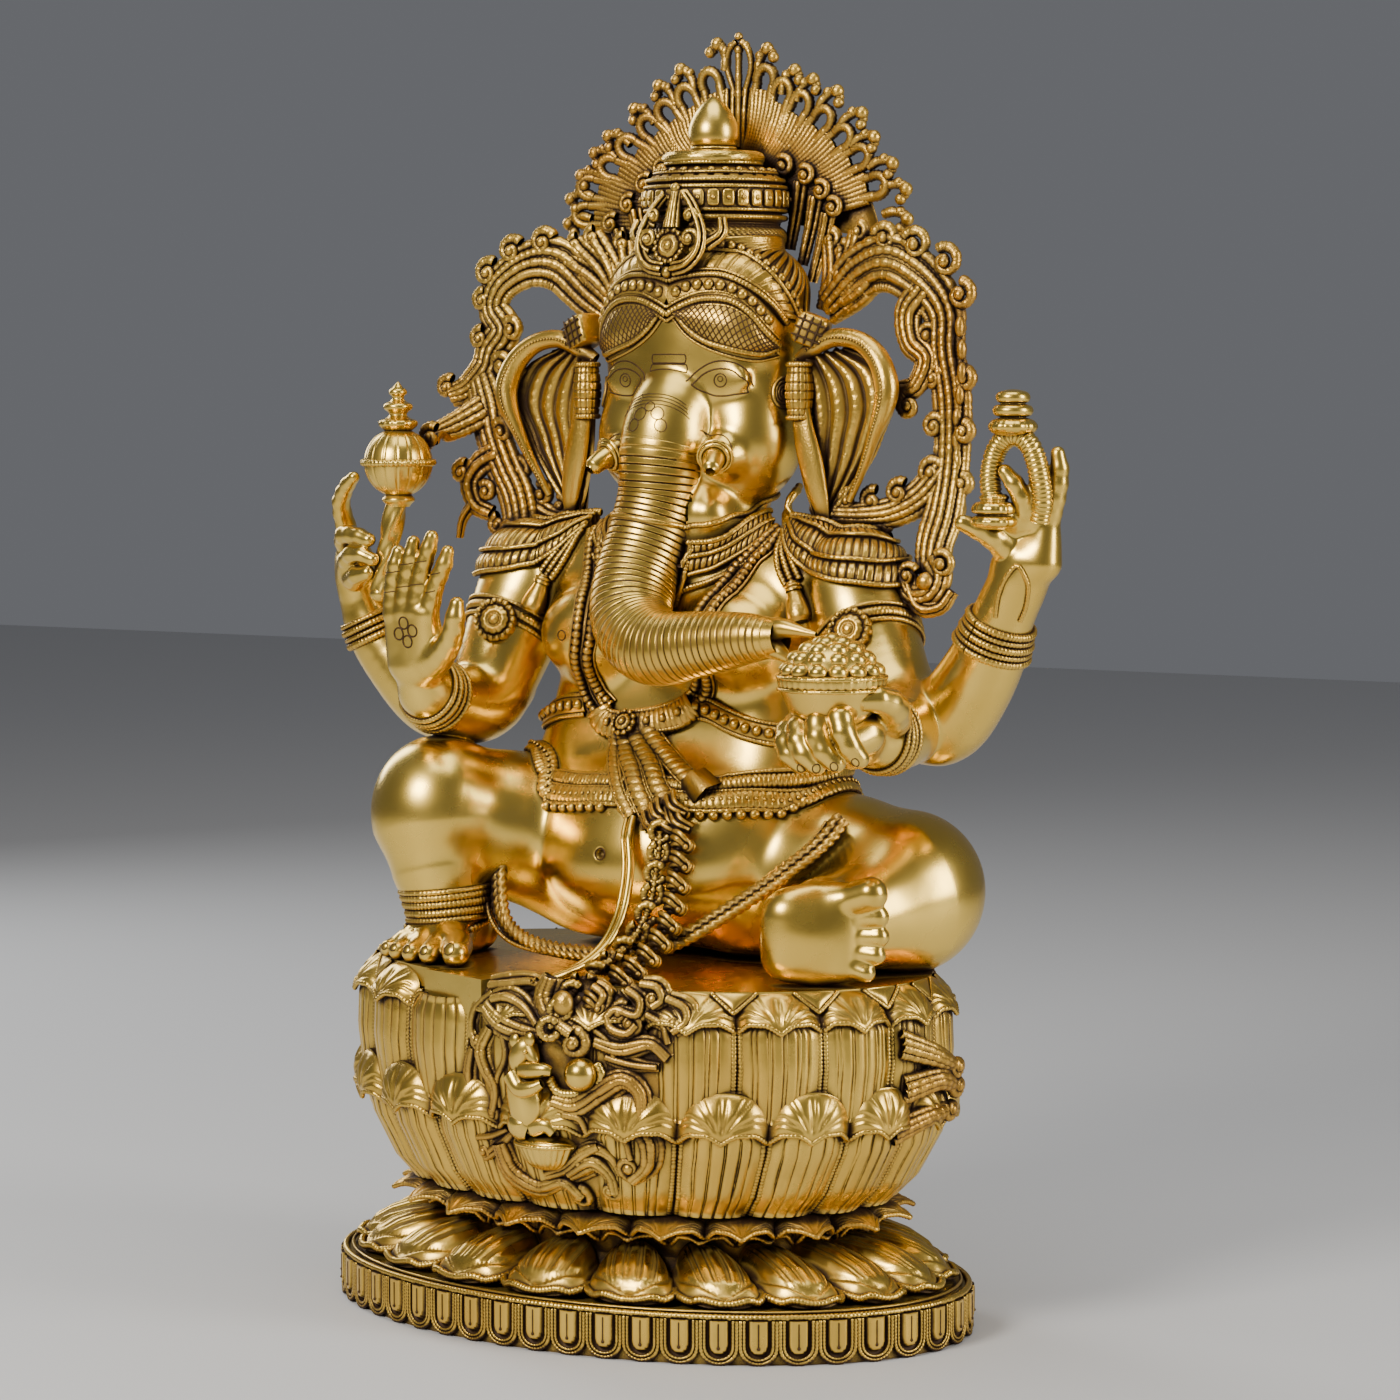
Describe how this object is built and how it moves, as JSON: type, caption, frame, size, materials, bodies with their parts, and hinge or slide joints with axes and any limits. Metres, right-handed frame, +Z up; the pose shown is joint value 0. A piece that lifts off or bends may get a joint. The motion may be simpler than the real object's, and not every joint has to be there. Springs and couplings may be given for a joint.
{
  "type": "seated elephant-headed deity idol",
  "caption": "Four-armed elephant-headed deity seated on an oval lotus throne, holding a mace, a noose and a bowl of sweets, with a pierced halo crest behind the head.",
  "frame": {"origin": "centre of the underside of the oval plinth", "axes": "+Z up, the figure faces -Y, +X is the figure's own left side (the viewer's right)"},
  "size_m": [0.6101, 0.3414, 0.9],
  "materials": {
    "polished_brass": "satin polish with brown in the recesses",
    "engraved_brass": "stippled and engraved, dark lines",
    "antique_brass": "antiqued, heavy dark patina"
  },
  "bodies": {
    "root": {"plinth": "polished_brass", "plinth_rim": "engraved_brass", "plinth_arcade": "engraved_brass", "plinth_petals": "engraved_brass", "waist_petals": "antique_brass", "lotus_core": "antique_brass", "lower_petals": "engraved_brass", "upper_petals": "engraved_brass", "seat_slab": "polished_brass", "relief_scrolls": "antique_brass", "mouse": "polished_brass", "mouse_offerings": "polished_brass", "side_relief": "antique_brass", "torso": "polished_brass", "belly": "polished_brass", "right_leg": "polished_brass", "right_foot": "polished_brass", "right_anklets": "engraved_brass", "left_leg": "polished_brass", "left_foot": "polished_brass", "right_front_arm": "polished_brass", "right_front_hand": "polished_brass", "right_rear_arm": "polished_brass", "right_rear_hand": "polished_brass", "left_front_arm": "polished_brass", "left_front_hand": "polished_brass", "left_rear_arm": "polished_brass", "left_rear_hand": "polished_brass", "head": "polished_brass", "trunk": "polished_brass", "tusks": "polished_brass", "right_ear": "engraved_brass", "left_ear": "engraved_brass", "ear_ornaments": "engraved_brass", "diadem": "engraved_brass", "crown": "engraved_brass", "crown_finial": "polished_brass", "crown_medallion": "engraved_brass", "right_shoulder_cape": "engraved_brass", "left_shoulder_cape": "engraved_brass", "neck_bands": "engraved_brass", "long_necklace": "antique_brass", "chest_band": "engraved_brass", "cape_tassels": "engraved_brass", "belt": "engraved_brass", "waist_sashes": "engraved_brass", "tassel_chain": "engraved_brass", "sash_fringe": "antique_brass", "sash_cord": "polished_brass", "lap_garland": "antique_brass", "armlets": "engraved_brass", "bracelets": "engraved_brass", "mace": "polished_brass", "noose": "polished_brass", "sweet_bowl": "polished_brass", "sweets": "polished_brass", "aureole_crest": "engraved_brass", "right_scrolls": "antique_brass", "left_scrolls": "antique_brass"}
  },
  "joints": []
}
